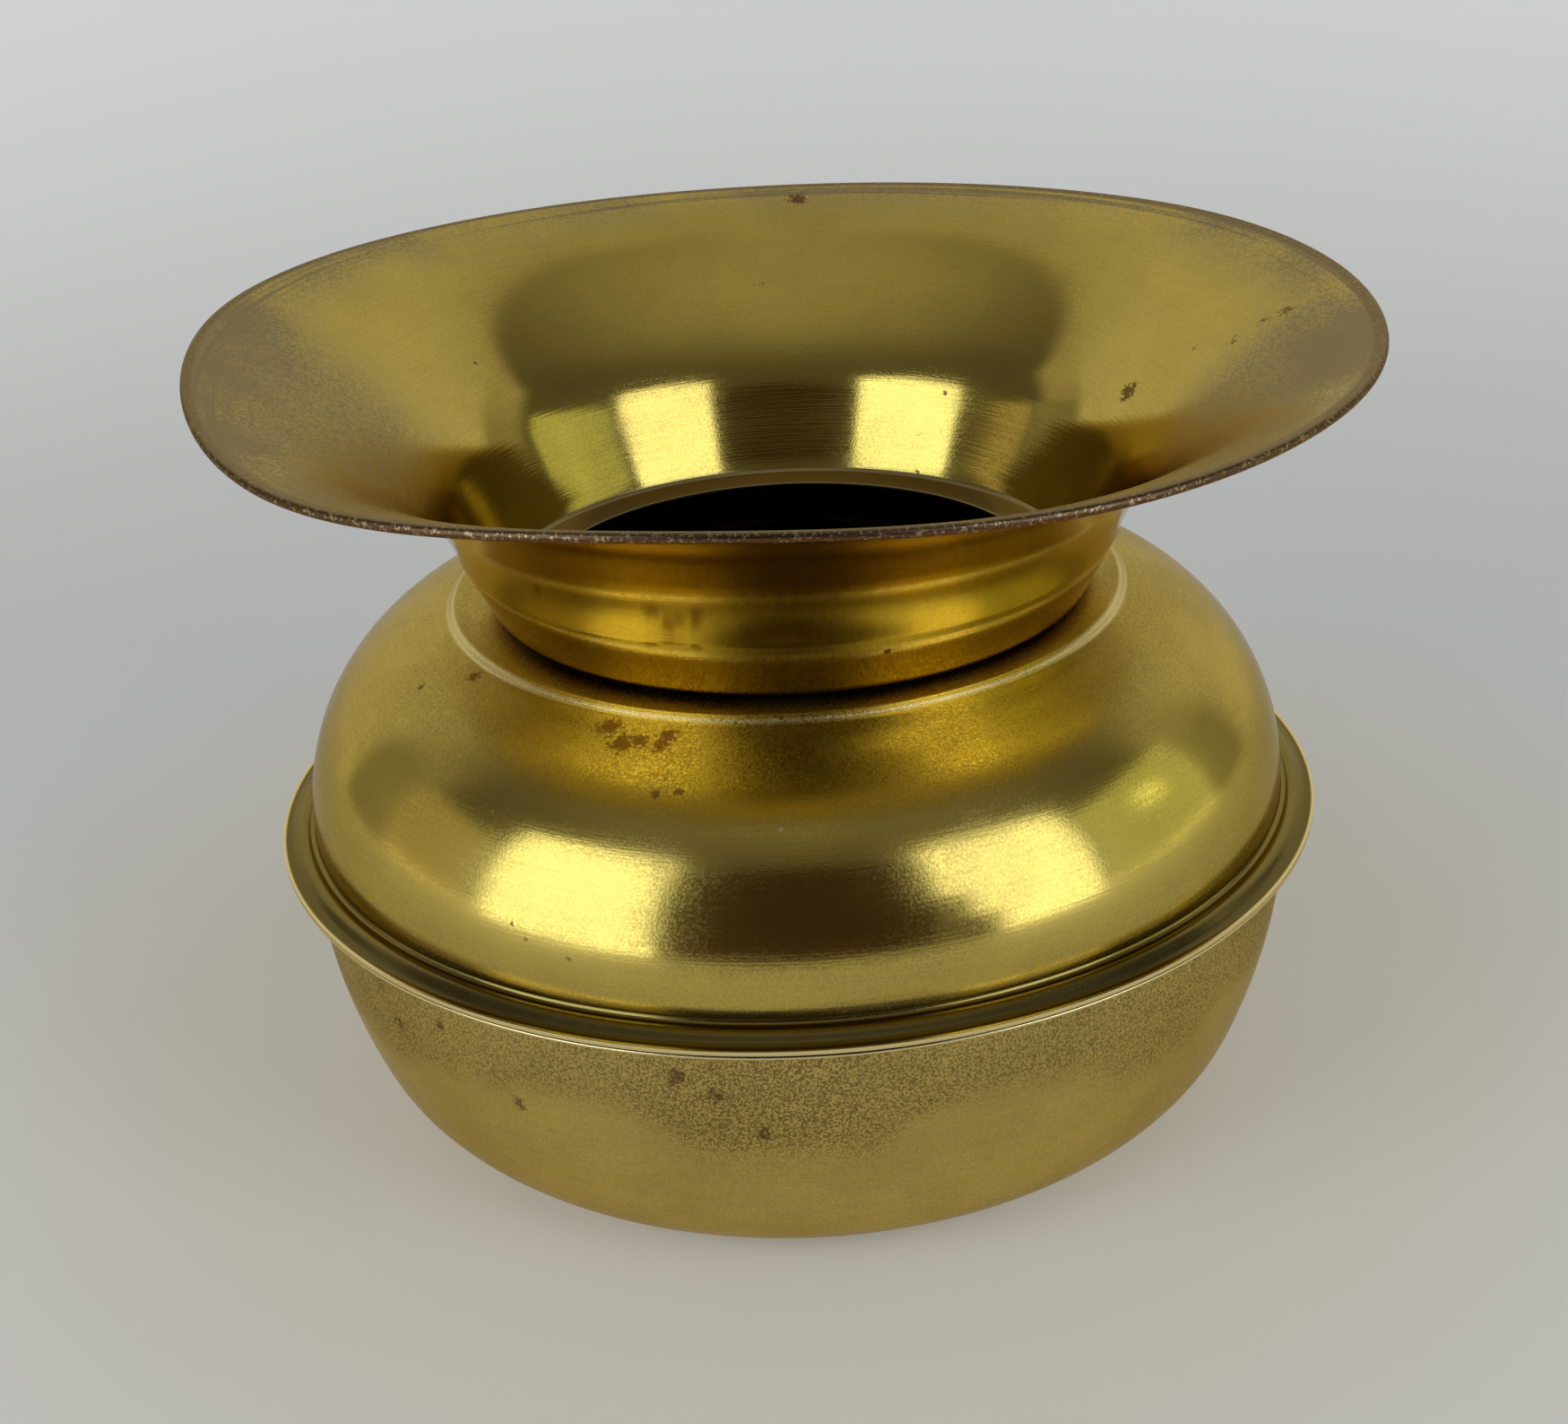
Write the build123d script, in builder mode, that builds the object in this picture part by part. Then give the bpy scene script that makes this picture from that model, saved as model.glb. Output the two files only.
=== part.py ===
from build123d import *
import os

# Brass spittoon: a spun bowl and a spun shoulder soldered at a lap seam, and a flared mouth that
# stands loose in the neck. Millimetres and degrees, +Z up, origin on the floor under the axis of
# the vessel. A width, w, runs outward from the axis or towards it, and a height, h, runs upward.

# Bowl, the lower half of the body
bowl_sheet = 0.7
bowl_r = 89.3
bowl_h = 52.2
bowl_upright_h = 2.5
bowl_foot_w = 14.5
bowl_foot_bend_r = 24.0
bowl_flange_w = 4.75
bowl_flange_bend_r = 0.9
base_ring_w = 27.0
base_recess_h = 1.2
base_recess_slope_w = 2.0
base_bend_r = 1.5

# Solder that fills the lap seam and creeps out of it on the inside
seam_film = 0.25
seam_film_inset = 0.25
solder_creep_w = 0.9

# Shoulder, the upper half of the body
shoulder_sheet = 0.7
lap_overhang = 0.2
lap_w = 1.65
cove_bend_r = 2.5
ridge_w = 2.4
ridge_h = 2.05
ridge_bend_r = 1.1
groove_h = 1.0
groove_bend_r = 0.8
dome_inset = 1.1
dome_foot_h = 3.0
dome_w = 27.9
dome_h = 36.2
step_w = 0.7
step_h = 1.2
step_bend_r = 0.8
neck_land_w = 13.0
neck_land_bend_r = 0.8
collar_h = 7.5
collar_bend_r = 1.2

# Mouth, the flared funnel that lifts out of the neck
mouth_sheet = 0.6
spigot_clearance = 1.0
spigot_h = 6.5
spigot_bend_r = 0.8
seat_gap = 0.05
ledge_w = 7.35
ledge_bend_r = 2.4
foot_w = 5.75
foot_h = 11.6
crease_bend_r = 8.0
drum_w = 1.3
drum_h = 3.9
drum_bend_r = 20.0
drum_turn = 33.6
flare_w = 33.4
flare_h = 20.5

# Wire that the rim is rolled over
wire_r = 0.55
wire_clearance = 0.05
roll_turn = 285.0

# Radii and heights that follow from the sizes above
foot_corner_r = bowl_r - bowl_foot_w
base_recess_r = foot_corner_r - base_ring_w
bowl_flange_r = bowl_r + bowl_flange_w
bowl_top_z = bowl_h + bowl_sheet
lap_under_z = bowl_top_z + seam_film
lap_z = lap_under_z + shoulder_sheet
lap_r = bowl_flange_r + lap_overhang
lap_in_r = lap_r - lap_w
film_out_r = lap_r - seam_film_inset
film_in_r = lap_in_r - solder_creep_w
dome_r = bowl_r - dome_inset
dome_foot_z = lap_z + dome_foot_h
step_r = dome_r - dome_w
step_z = dome_foot_z + dome_h
neck_land_r = step_r - step_w
neck_land_z = step_z + step_h
neck_r = neck_land_r - neck_land_w
spigot_r = neck_r - spigot_clearance
seat_z = neck_land_z + seat_gap
ledge_r = spigot_r + ledge_w
crease_r = ledge_r + foot_w
crease_z = seat_z + foot_h
drum_top_r = crease_r + drum_w
drum_top_z = crease_z + drum_h
roll_r = wire_r + wire_clearance

os.makedirs("parts", exist_ok=True)

# Bowl: base with a shallow push-up, rounded wall and out-turned flange, drawn along its outside
with BuildPart() as bowl_shell:
    with BuildSketch(Plane.XZ):
        with BuildLine() as bowl_line:
            FilletPolyline(
                (0, base_recess_h),
                (base_recess_r - base_recess_slope_w, base_recess_h),
                (base_recess_r, 0),
                (foot_corner_r, 0),
                radius=base_bend_r,
            )
            TangentArc((bowl_r, bowl_h - bowl_upright_h), (foot_corner_r, 0), tangent=(0, -1))
            FilletPolyline(
                (bowl_r, bowl_h - bowl_upright_h),
                (bowl_r, bowl_h),
                (bowl_flange_r, bowl_h),
                radius=bowl_flange_bend_r,
            )
            foot_corner = bowl_line.vertices().sort_by_distance((foot_corner_r, 0))[0]
            fillet(foot_corner, radius=bowl_foot_bend_r)
            offset(amount=bowl_sheet, side=Side.LEFT)
        make_face()
    revolve(axis=Axis.Z)
bowl_shell.part.label = "bowl_shell"
export_step(bowl_shell.part, "parts/bowl_shell.step")

# Shoulder: neck collar, flat neck land, step, dome, groove, ridge, cove and lap, drawn along its top
with BuildPart() as shoulder_shell:
    with BuildSketch(Plane.XZ):
        with BuildLine() as shoulder_line:
            neck = FilletPolyline(
                (neck_r, neck_land_z - collar_h),
                (neck_r, neck_land_z),
                (neck_land_r, neck_land_z),
                (step_r, step_z),
                radius=(collar_bend_r, neck_land_bend_r),
            )
            TangentArc((dome_r, dome_foot_z), neck @ 1, tangent=(0, 1))
            FilletPolyline(
                (dome_r, dome_foot_z),
                (dome_r, lap_z + groove_h),
                (dome_r + ridge_w, lap_z + ridge_h),
                (lap_in_r, lap_z),
                (lap_r, lap_z),
                radius=(groove_bend_r, ridge_bend_r, cove_bend_r),
            )
            step_corner = shoulder_line.vertices().sort_by_distance(neck @ 1)[0]
            fillet(step_corner, radius=step_bend_r)
            offset(amount=shoulder_sheet, side=Side.RIGHT)
        make_face()
    revolve(axis=Axis.Z)
shoulder_shell.part.label = "shoulder_shell"
export_step(shoulder_shell.part, "parts/shoulder_shell.step")

# Solder: a flat ring of film between the two laid-together edges
with BuildPart() as seam_solder:
    with BuildSketch(Plane.XZ):
        with Locations((film_in_r, bowl_top_z)):
            Rectangle(film_out_r - film_in_r, seam_film, align=Align.MIN)
    revolve(axis=Axis.Z)
seam_solder.part.label = "seam_solder"
export_step(seam_solder.part, "parts/seam_solder.step")

# Mouth: spigot, ledge, tapered foot, crease, drum, flare and rolled rim, drawn along its underside
with BuildPart() as mouth_funnel:
    with BuildSketch(Plane.XZ):
        with BuildLine():
            drum = FilletPolyline(
                (spigot_r, seat_z - spigot_h),
                (spigot_r, seat_z),
                (ledge_r, seat_z),
                (crease_r, crease_z),
                (drum_top_r, drum_top_z),
                radius=(spigot_bend_r, ledge_bend_r, crease_bend_r),
            )
            bell = JernArc(drum @ 1, drum % 1, drum_bend_r, -drum_turn)
            flare_edge = bell @ 1 + Vector(flare_w, flare_h)
            flare = TangentArc(bell @ 1, flare_edge, tangent=bell % 1)
            offset(amount=mouth_sheet, side=Side.LEFT)
        make_face()
        flare_across = (flare % 1).rotate(Axis.Z, 90)
        with BuildLine():
            roll_in = JernArc(flare @ 1, flare % 1, roll_r, -roll_turn)
            roll_out = JernArc(
                flare @ 1 + flare_across * mouth_sheet, flare % 1, roll_r + mouth_sheet, -roll_turn
            )
            Line(roll_in @ 0, roll_out @ 0)
            Line(roll_in @ 1, roll_out @ 1)
        make_face()
    revolve(axis=Axis.Z)
mouth_funnel.part.label = "mouth_funnel"
export_step(mouth_funnel.part, "parts/mouth_funnel.step")

# Wire: lies in the middle of the roll
roll_center = flare @ 1 - flare_across * roll_r
with BuildPart() as rim_wire:
    with BuildSketch(Plane.XZ):
        with Locations(roll_center):
            Circle(wire_r)
    revolve(axis=Axis.Z)
rim_wire.part.label = "rim_wire"
export_step(rim_wire.part, "parts/rim_wire.step")

rim_outer_r = roll_center.X + roll_r + mouth_sheet
rim_top_z = roll_center.Y + roll_r + mouth_sheet
print("rim outer radius", round(rim_outer_r, 2), "height", round(rim_top_z, 2))
print("flare edge", round((flare @ 1).X, 2), round((flare @ 1).Y, 2), "neck land", round(neck_land_z, 2))
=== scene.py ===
import math

import bpy
from bpy.props import FloatProperty, FloatVectorProperty, IntProperty, PointerProperty
from bpy.types import Operator, Panel, PropertyGroup
from mathutils import Matrix, Vector


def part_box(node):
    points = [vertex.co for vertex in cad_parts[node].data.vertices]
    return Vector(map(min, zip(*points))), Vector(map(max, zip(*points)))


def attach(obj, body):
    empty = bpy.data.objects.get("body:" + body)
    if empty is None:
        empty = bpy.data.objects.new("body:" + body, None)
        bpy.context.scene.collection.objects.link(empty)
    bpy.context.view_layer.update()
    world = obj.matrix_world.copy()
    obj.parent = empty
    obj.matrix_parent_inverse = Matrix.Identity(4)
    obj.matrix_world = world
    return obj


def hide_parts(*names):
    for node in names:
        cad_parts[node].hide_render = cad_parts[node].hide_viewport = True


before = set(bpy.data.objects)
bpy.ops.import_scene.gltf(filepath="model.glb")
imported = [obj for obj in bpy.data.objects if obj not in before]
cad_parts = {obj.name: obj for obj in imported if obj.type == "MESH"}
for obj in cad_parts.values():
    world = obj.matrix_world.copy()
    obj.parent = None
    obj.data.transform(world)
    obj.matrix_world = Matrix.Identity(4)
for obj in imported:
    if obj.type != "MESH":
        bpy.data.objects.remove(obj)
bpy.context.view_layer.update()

bl_info = {
    "name": "Brass spittoon",
    "version": (1, 0, 0),
    "blender": (4, 5, 0),
    "location": "3D View > Sidebar > Spittoon",
    "description": "Models and finishes a spun brass spittoon around its packed solids",
    "category": "Object",
}

MM = 0.001
NECK_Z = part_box("shoulder_shell")[1][2]
RIM_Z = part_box("mouth_funnel")[1][2]
RIM_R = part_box("mouth_funnel")[1][0]

# The roll of the rim in millimetres, how far it turns, and its middle, the CAD wire's
CAD_WIRE_R = 0.55
WIRE_GAP = 0.05
ROLL_R = 0.5
ROLL_SHEET = 0.4
ROLL_TURN = math.radians(-285)
ROLL_HUB = Vector((
    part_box("rim_wire")[1][0] / MM - CAD_WIRE_R,
    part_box("rim_wire")[1][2] / MM - CAD_WIRE_R,
))
# Where the flare runs into the roll, from the roll's middle and in its radii
ROLL_START = (-0.24, 0.97)

# Bend of the rim as it goes round: waves in a turn, cosine and sine part in millimetres
RIM_WAVES = (
    (0, 0.744, 0.0), (1, 0.258, -0.529), (2, 0.333, -0.471), (3, -0.273, 1.265),
    (4, 0.549, -0.390), (5, -0.510, -0.004), (6, 0.044, 0.182),
)

# Share of the lean that the mouth's foot takes; the rest comes in towards the rim
FOOT_LEAN = 0.6
# Points of the cage that leans the mouth: across, deep and high
CAGE_POINTS = (11, 11, 5)
# Middles in millimetres about which marks lie: the vessel's, the leaning mouth's, its throat's
VESSEL_CENTRE = (0, 0)
MOUTH_CENTRE = (1.3, -0.7)
THROAT_CENTRE = (0.75, 0)


# Sizes and colours that a user would change


class VesselSettings(PropertyGroup):
    """Sizes of the soldered vessel, and how finely every piece is spun"""

    sheet: FloatProperty(
        name="Sheet", description="Thickness of the bowl's and the shoulder's brass",
        default=0.7 * MM, min=0.2 * MM, subtype="DISTANCE", unit="LENGTH",
    )
    edge_round: FloatProperty(
        name="Edge round", description="Radius that the cut edges of the sheet are worn to",
        default=0.30 * MM, min=0.0, subtype="DISTANCE", unit="LENGTH",
    )
    turns: IntProperty(
        name="Facets around", description="Steps in which an outline is spun about the axis",
        default=288, min=48,
    )


class MouthSettings(PropertyGroup):
    """How the loose mouth stands in the neck"""

    lean_right: FloatProperty(
        name="Lean to the right",
        description="How far the mouth has sunk at its right for its radius",
        default=0.0088, subtype="FACTOR", soft_min=-0.1, soft_max=0.1,
    )
    lean_front: FloatProperty(
        name="Lean to the front",
        description="How far the mouth has sunk at its front for its radius",
        default=0.0195, subtype="FACTOR", soft_min=-0.1, soft_max=0.1,
    )
    off_centre: FloatProperty(
        name="Off centre", description="How far the loose mouth stands to the right in the neck",
        default=0.75 * MM, subtype="DISTANCE", unit="LENGTH",
    )
    rim_right: FloatProperty(
        name="Rim to the right", description="How far the rim alone has been pushed to the right",
        default=0.42 * MM, subtype="DISTANCE", unit="LENGTH",
    )
    lift: FloatProperty(
        name="Lift", description="How far the leaning mouth's middle stands off its seat",
        default=0.05 * MM, subtype="DISTANCE", unit="LENGTH",
    )


class FinishSettings(PropertyGroup):
    """Colours of the brass"""

    brass_colour: FloatVectorProperty(
        name="Brass", description="Colour of the bare brass", subtype="COLOR", size=3,
        default=(0.57, 0.425, 0.088), min=0.0, max=1.0,
    )
    film_colour: FloatVectorProperty(
        name="Film", description="Colour of the brass where the brown film of age lies thickest",
        subtype="COLOR", size=3, default=(0.26, 0.175, 0.052), min=0.0, max=1.0,
    )
    dull_colour: FloatVectorProperty(
        name="Dulled", description="Colour of the brass where it has only lost its polish",
        subtype="COLOR", size=3, default=(0.67, 0.51, 0.165), min=0.0, max=1.0,
    )
    # Paler than bare brass: besides wear it paints the highlight along the flange's edge and on
    # the neck step
    wear_and_sheen_colour: FloatVectorProperty(
        name="Worn", description="Colour of the brass where an edge is rubbed bright",
        subtype="COLOR", size=3, default=(0.80, 0.64, 0.30), min=0.0, max=1.0,
    )
    outside_colour: FloatVectorProperty(
        name="Mouth outside", description="Colour of the bare brass on the mouth's underside",
        subtype="COLOR", size=3, default=(0.65, 0.50, 0.105), min=0.0, max=1.0,
    )
    rim_colour: FloatVectorProperty(
        name="Rim", description="Colour of the greyer film towards the rim and on the ledge",
        subtype="COLOR", size=3, default=(0.27, 0.215, 0.115), min=0.0, max=1.0,
    )


class StageSettings(PropertyGroup):
    """Light and colours of what stands around the object"""

    light: FloatProperty(
        name="Light", description="Brightness of all the soft boxes together",
        default=1.0, min=0.0, soft_max=2.0, subtype="FACTOR",
    )
    paper_colour: FloatVectorProperty(
        name="Paper", description="Colour of the paper that the object stands on",
        subtype="COLOR", size=3, default=(0.93, 0.93, 0.915), min=0.0, max=1.0,
    )
    # A painted glow: the light that the brass throws back onto the paper about the foot
    brass_glow_colour: FloatVectorProperty(
        name="Warm paper", description="Colour of the paper about the foot, in the brass's light",
        subtype="COLOR", size=3, default=(0.84, 0.775, 0.62), min=0.0, max=1.0,
    )
    ground_colour: FloatVectorProperty(
        name="Ground", description="Brightness of the paper far from the object",
        subtype="COLOR", size=3, default=(0.705, 0.71, 0.695), min=0.0, max=1.0,
    )
    room_colour: FloatVectorProperty(
        name="Room", description="Brightness of the room all round",
        subtype="COLOR", size=3, default=(0.50, 0.485, 0.45), min=0.0, max=1.0,
    )
    card_colour: FloatVectorProperty(
        name="Dark card", description="Colour of the dark cards behind the camera",
        subtype="COLOR", size=3, default=(0.10, 0.058, 0.042), min=0.0, max=1.0,
    )
    grey_colour: FloatVectorProperty(
        name="Grey card", description="Colour of the grey cards at the sides",
        subtype="COLOR", size=3, default=(0.62, 0.59, 0.52), min=0.0, max=1.0,
    )


# Drawing of an outline in the XZ plane, in millimetres, and its turning on the lathe


# Longest step of an outline on a straight run and on an arc, in millimetres, and its largest turn
STRAIGHT_STEP = 3.0
ARC_STEP = 1.5
TURN_STEP = math.radians(10)


def start_point(name, r, z):
    """Adds an object of one point, from which an outline is drawn."""
    bpy.ops.object.select_all(action="DESELECT")
    bpy.ops.mesh.primitive_plane_add(size=MM, location=(r * MM, 0, z * MM))
    piece = bpy.context.object
    piece.name = name
    piece.data.name = name
    bpy.ops.object.transform_apply(location=True, rotation=True, scale=True)
    bpy.ops.object.mode_set(mode="EDIT")
    bpy.ops.mesh.merge(type="CENTER")
    return piece


def add_point(r, z):
    """Adds one more point to the mesh in edit mode, from which another line is drawn."""
    bpy.ops.mesh.select_all(action="DESELECT")
    bpy.ops.mesh.primitive_plane_add(size=MM, location=(r * MM, 0, z * MM))
    bpy.ops.mesh.merge(type="CENTER")


def straight(here, there):
    """Draws a straight run."""
    run = there - here
    if run.length < 1e-6:
        return
    steps = math.ceil(run.length / STRAIGHT_STEP)
    step = run / steps * MM
    for _ in range(steps):
        bpy.ops.mesh.extrude_region_move(TRANSFORM_OT_translate={"value": (step.x, 0, step.y)})


def bend(center, radius, turn):
    """Draws an arc about its centre; a positive turn is to the left."""
    steps = max(math.ceil(abs(turn) / TURN_STEP), math.ceil(abs(turn) * radius / ARC_STEP))
    bpy.ops.mesh.spin(
        steps=steps, angle=turn, center=(center.x * MM, 0, center.y * MM), axis=(0, 1, 0)
    )


def draw(start, rows):
    """Draws on from the selected point through rows of (r, z, radius of the bend there).

    A row whose radius is None is reached on an arc that leaves the run before it without a corner.
    """
    here = Vector(start)
    heading = None
    for index, (r, z, radius) in enumerate(rows):
        goal = Vector((r, z))
        if radius is None:
            chord = goal - here
            half = heading.angle_signed(chord)
            reach = chord.length / (2 * math.sin(abs(half)))
            side = Vector((-heading.y, heading.x)) * (-1 if half > 0 else 1)
            bend(here + side * reach, reach, -2 * half)
            heading = Matrix.Rotation(-2 * half, 2) @ heading
            here = goal
            continue
        heading = (goal - here).normalized()
        if not radius:
            straight(here, goal)
            here = goal
            continue
        after = (Vector(rows[index + 1][:2]) - goal).normalized()
        turn = -heading.angle_signed(after)
        cut = radius * math.tan(abs(turn) / 2)
        straight(here, goal - heading * cut)
        side = Vector((-heading.y, heading.x)) * (1 if turn > 0 else -1)
        bend(goal - heading * cut + side * radius, radius, turn)
        here = goal + after * cut
        heading = after
    return here, heading


def join_points(piece, *points):
    """Draws an edge between two points of the outline."""
    bpy.ops.mesh.select_all(action="DESELECT")
    bpy.ops.object.mode_set(mode="OBJECT")
    for vertex in piece.data.vertices:
        flat = Vector((vertex.co.x, vertex.co.z)) / MM
        vertex.select = any((flat - Vector(point)).length < 1e-3 for point in points)
    bpy.ops.object.mode_set(mode="EDIT")
    bpy.ops.mesh.edge_face_add()


def turn_outline(turns, hollow_side=False):
    """Spins the outline about the axis, closes its seam and poles and turns its faces outwards.

    On an open bowl the faces come out right only when they are asked for on the hollow side.
    """
    bpy.ops.mesh.select_all(action="SELECT")
    bpy.ops.mesh.spin(steps=turns, angle=math.tau, center=(0, 0, 0), axis=(0, 0, 1))
    bpy.ops.mesh.select_all(action="SELECT")
    bpy.ops.mesh.remove_doubles(threshold=0.002 * MM)
    bpy.ops.mesh.normals_make_consistent(inside=hollow_side)
    bpy.ops.object.mode_set(mode="OBJECT")


def thicken(piece, sheet):
    """Gives the spun line the sheet's thickness, inwards, with its second material inside."""
    shell = piece.modifiers.new("sheet", "SOLIDIFY")
    shell.thickness = sheet
    shell.offset = -1
    shell.use_even_offset = True
    shell.material_offset = 1
    shell.material_offset_rim = 0
    bpy.ops.object.modifier_apply(modifier=shell.name)


def soften(piece, width):
    """Rounds the cut edges of the sheet and shades the rest smooth."""
    edges = piece.modifiers.new("edges", "BEVEL")
    edges.limit_method = "ANGLE"
    edges.angle_limit = math.radians(50)
    edges.width = width
    edges.segments = 3
    bpy.ops.object.modifier_apply(modifier=edges.name)
    bpy.ops.object.shade_smooth_by_angle(angle=math.radians(40))


def lean_mouth(piece, mouth):
    """Leans the mouth as it stands loose in the neck, and bends its rim out of true."""
    # The cage reaches past the mouth on every side
    low = NECK_Z - 10 * MM
    high = RIM_Z + 4 * MM
    width = 2.2 * RIM_R
    bpy.ops.object.add(type="LATTICE", location=(0, 0, (low + high) / 2))
    cage = bpy.context.object
    cage.scale = (width, width, high - low)
    grid = cage.data
    grid.points_u, grid.points_v, grid.points_w = CAGE_POINTS
    for point in grid.points:
        x = point.co.x * width
        y = point.co.y * width
        z = (low + high) / 2 + point.co.z * (high - low)
        height = min(max((z - NECK_Z) / (RIM_Z - NECK_Z), 0), 1)
        share = FOOT_LEAN + (1 - FOOT_LEAN) * height
        push = Vector((mouth.off_centre, 0, mouth.lift))
        push.x += mouth.lean_right * (z - NECK_Z) + mouth.rim_right * rim_share(x, y)
        push.y -= mouth.lean_front * (z - NECK_Z)
        push.z += share * (mouth.lean_front * y - mouth.lean_right * x)
        push.z += rim_wave(x, y)
        scaled = Vector((push.x / width, push.y / width, push.z / (high - low)))
        point.co_deform = point.co + scaled
    bpy.ops.object.select_all(action="DESELECT")
    piece.select_set(True)
    bpy.context.view_layer.objects.active = piece
    bpy.context.view_layer.update()
    warp = piece.modifiers.new("lean", "LATTICE")
    warp.object = cage
    bpy.ops.object.modifier_apply(modifier=warp.name)
    bpy.data.objects.remove(cage)


def rim_wave(x, y):
    """How far the rim has been bent up at a bearing, dying out towards the throat."""
    bearing = math.atan2(y, x)
    rise = sum(c * math.cos(n * bearing) + s * math.sin(n * bearing) for n, c, s in RIM_WAVES)
    return rise * MM * rim_share(x, y)


def rim_share(x, y):
    """How much a point takes part in what bent the rim, by the fourth power of its radius."""
    return min(math.hypot(x, y) / (100 * MM), 1.1) ** 4


def seat(piece, body, slot, *nodes):
    """Lets the finished piece stand for its CAD nodes and move with their body."""
    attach(piece, body)
    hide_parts(*nodes)


# Stage


# Soft boxes: name, ends of the foot, its height and the top's in metres, strength and tint
SOFT_BOXES = (
    ("left box", (-0.84, -0.29), (-0.37, -0.62), 0.0, 0.66, 3.0, "#E0EDFF"),
    ("right box", (0.34, -0.62), (0.76, -0.36), 0.0, 0.66, 3.0, "#E0EBFF"),
    ("left side box", (-0.91, 0.18), (-0.90, -0.24), 0.0, 0.50, 0.50, "#F3E9C8"),
    ("right side box", (0.83, -0.33), (0.93, 0.20), 0.0, 0.56, 0.72, "#E4F4C8"),
    ("small box", (0.84, -0.11), (0.86, 0.01), 0.28, 0.40, 1.1, "#F4FFE0"),
)
# Cards: name, ends of the foot, height in metres and whether it is a grey one
CARDS = (
    ("dark card", (-0.37, -0.63), (0.34, -0.63), 0.57, False),
    ("low dark card", (0.33, -0.60), (0.39, -0.565), 0.26, False),
    ("corner dark card", (0.39, -0.565), (0.45, -0.53), 0.12, False),
    ("left grey card", (-0.90, 0.20), (-0.78, 0.47), 0.50, True),
    ("right grey card", (0.92, 0.24), (0.80, 0.47), 0.34, True),
)
# The sweep in metres: width of the paper, how far behind it turns up, how widely, and its top
SWEEP_WIDTH = 4.0
SWEEP_FAR = 0.35
SWEEP_BEND = 0.9
SWEEP_TOP = 2.3


def add_sweep(stage):
    """Adds the pale paper, which lies flat and curves up far behind."""
    bpy.ops.object.select_all(action="DESELECT")
    middle = SWEEP_FAR - SWEEP_WIDTH / 2
    bpy.ops.mesh.primitive_plane_add(size=SWEEP_WIDTH, location=(0, middle, 0))
    sweep = bpy.context.object
    sweep.name = "sweep"
    bpy.ops.object.transform_apply(location=True, rotation=True, scale=True)
    bpy.ops.object.mode_set(mode="EDIT")
    bpy.ops.mesh.select_mode(type="EDGE")
    bpy.ops.mesh.select_all(action="DESELECT")
    bpy.ops.object.mode_set(mode="OBJECT")
    for edge in sweep.data.edges:
        ends = [sweep.data.vertices[i].co for i in edge.vertices]
        edge.select = all(end.y > SWEEP_FAR - 0.01 for end in ends)
    bpy.ops.object.mode_set(mode="EDIT")
    bpy.ops.mesh.spin(
        steps=16, angle=-math.pi / 2, center=(0, SWEEP_FAR, SWEEP_BEND), axis=(1, 0, 0)
    )
    rise = (0, 0, SWEEP_TOP - SWEEP_BEND)
    bpy.ops.mesh.extrude_region_move(TRANSFORM_OT_translate={"value": rise})
    bpy.ops.mesh.select_all(action="SELECT")
    bpy.ops.mesh.select_mode(type="VERT")
    bpy.ops.object.mode_set(mode="OBJECT")
    bpy.ops.object.shade_smooth()
    sweep.data.materials.append(matt_paper(stage))


def matt_paper(stage):
    """Matt paper: a painted warm glow about the foot, for the light that the brass throws back,
    and an even pale ground far away.
    """
    material = rough_material("matt paper", stage.paper_colour)
    tree = material.node_tree
    shader = tree.nodes["Principled BSDF"]
    place = add(tree, "ShaderNodeTexCoord").outputs["Object"]
    away = vector_node(tree, "LENGTH", place)
    # Painted warm glow about the foot, for the light the brass throws back
    foot = ramp(tree, away, 0.09, 0.26, 1.0, 0.0)
    colour = blend(tree, foot, opaque(stage.paper_colour), opaque(stage.brass_glow_colour))
    tree.links.new(colour, shader.inputs["Base Color"])
    rays = add(tree, "ShaderNodeLightPath")
    seen = larger(tree, rays.outputs["Is Camera Ray"], rays.outputs["Is Glossy Ray"])
    seen = larger(tree, seen, rays.outputs["Is Transmission Ray"])
    far = times(tree, ramp(tree, away, 0.20, 1.1, 0.22, 1.0), seen)
    height = add(tree, "ShaderNodeSeparateXYZ", {0: place}).outputs[2]
    fading = ramp(tree, height, SWEEP_BEND, SWEEP_TOP, 1.0, 0.72)
    ground = add(tree, "ShaderNodeEmission", {0: opaque(stage.ground_colour), 1: fading})
    mixed = add(
        tree, "ShaderNodeMixShader", {0: far, 1: shader.outputs[0], 2: ground.outputs[0]},
    )
    tree.links.new(mixed.outputs[0], tree.nodes["Material Output"].inputs["Surface"])
    return material


def rough_material(name, colour):
    """A plain matt surface for what stands around the object."""
    material = bpy.data.materials.new(name)
    material.use_nodes = True
    shader = material.node_tree.nodes["Principled BSDF"]
    shader.inputs["Base Color"].default_value = opaque(colour)
    shader.inputs["Roughness"].default_value = 0.9
    shader.inputs["Specular IOR Level"].default_value = 0.1
    return material


def upright(start, end, low, high):
    """Middle, direction outwards and width of a sheet that stands between two ends of its foot."""
    foot = Vector((*start, 0))
    along = Vector((*end, 0)) - foot
    middle = foot + along / 2 + Vector((0, 0, (low + high) / 2))
    away = Vector((along.y, -along.x, 0)).normalized()
    return middle, away, along.length


def add_soft_box(name, start, end, low, high, strength, tint):
    """Adds a soft box whose face has the given brightness, hidden from the camera itself."""
    middle, away, width = upright(start, end, low, high)
    if away.dot(middle) < 0:
        away = -away
    bpy.ops.object.light_add(
        type="AREA", location=middle, rotation=away.to_track_quat("Z", "Y").to_euler()
    )
    lamp = bpy.context.object
    lamp.name = name
    lamp.data.shape = "RECTANGLE"
    lamp.data.size = width
    lamp.data.size_y = high - low
    lamp.data.color = linear(tint)
    lamp.data.energy = strength * math.pi * width * (high - low)
    lamp.visible_camera = False


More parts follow.
